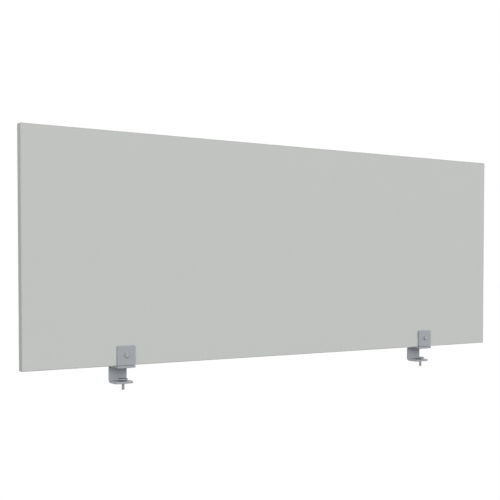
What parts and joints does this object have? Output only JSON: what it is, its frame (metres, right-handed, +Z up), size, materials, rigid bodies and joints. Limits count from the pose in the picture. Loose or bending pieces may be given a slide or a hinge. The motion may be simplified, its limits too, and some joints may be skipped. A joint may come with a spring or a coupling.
{
  "type": "desk privacy panel",
  "caption": "Flat laminated screen held upright above a desk's rear edge by bolted jaw plates on C-shaped desk clamps, each with a threaded clamping screw and swivel pad.",
  "frame": {"origin": "the desk top's upper rear edge, midway between the clamps: the liners' undersides are at Z = 0 and the clamps' back stops at Y = 0", "axes": "+X along the panel, +Y away from the person at the desk, +Z up"},
  "size_m": [1.6, 0.0623, 0.664],
  "materials": {
    "chipboard": "matte",
    "laminate": "fine-textured matte melamine",
    "edge_band": "satin",
    "clamp_steel": "fine metallic powder coat",
    "zinc_hardware": "zinc plated",
    "pad_steel": "zinc plated",
    "jaw_rubber": "matte",
    "liner_rubber": "matte",
    "pad_rubber": "matte"
  },
  "bodies": {
    "root": {"panel_core": "chipboard", "front_laminate": "laminate", "rear_laminate": "laminate", "edge_band_left": "edge_band", "edge_band_right": "edge_band", "edge_band_top": "edge_band", "edge_band_bottom": "edge_band", "left_bracket": "clamp_steel", "left_rear_jaw_plate": "clamp_steel", "left_front_jaw_plate": "clamp_steel", "left_front_jaw_pad": "jaw_rubber", "left_rear_jaw_pad": "jaw_rubber", "left_jaw_bolt": "zinc_hardware", "left_jaw_washer": "zinc_hardware", "left_jaw_nut": "zinc_hardware", "left_desk_liner": "liner_rubber", "right_bracket": "clamp_steel", "right_rear_jaw_plate": "clamp_steel", "right_front_jaw_plate": "clamp_steel", "right_front_jaw_pad": "jaw_rubber", "right_rear_jaw_pad": "jaw_rubber", "right_jaw_bolt": "zinc_hardware", "right_jaw_washer": "zinc_hardware", "right_jaw_nut": "zinc_hardware", "right_desk_liner": "liner_rubber"},
    "left_pad": {"left_pad_cup": "pad_steel", "left_pad_face": "pad_rubber"},
    "left_screw": {"left_clamp_screw": "zinc_hardware"},
    "right_pad": {"right_pad_cup": "pad_steel", "right_pad_face": "pad_rubber"},
    "right_screw": {"right_clamp_screw": "zinc_hardware"}
  },
  "joints": [
    {"name": "left_screw_turn", "type": "hinge", "parent": "left_pad", "child": "left_screw", "pos_m": [-0.525, -0.0295, -0.0345], "axis": [0, 0, 1], "range_deg": [-432, 4464]},
    {"name": "left_pad_lift", "type": "slide", "parent": "root", "child": "left_pad", "axis": [0, 0, 1], "range_m": [-0.0015, 0.0155]},
    {"name": "right_screw_turn", "type": "hinge", "parent": "right_pad", "child": "right_screw", "pos_m": [0.525, -0.0295, -0.0345], "axis": [0, 0, 1], "range_deg": [-432, 4464]},
    {"name": "right_pad_lift", "type": "slide", "parent": "root", "child": "right_pad", "axis": [0, 0, 1], "range_m": [-0.0015, 0.0155]}
  ],
  "couplings": [
    {"joint": "left_screw_turn", "follows": "left_pad_lift", "rad_per_m": 5026.5},
    {"joint": "right_screw_turn", "follows": "right_pad_lift", "rad_per_m": 5026.5}
  ]
}
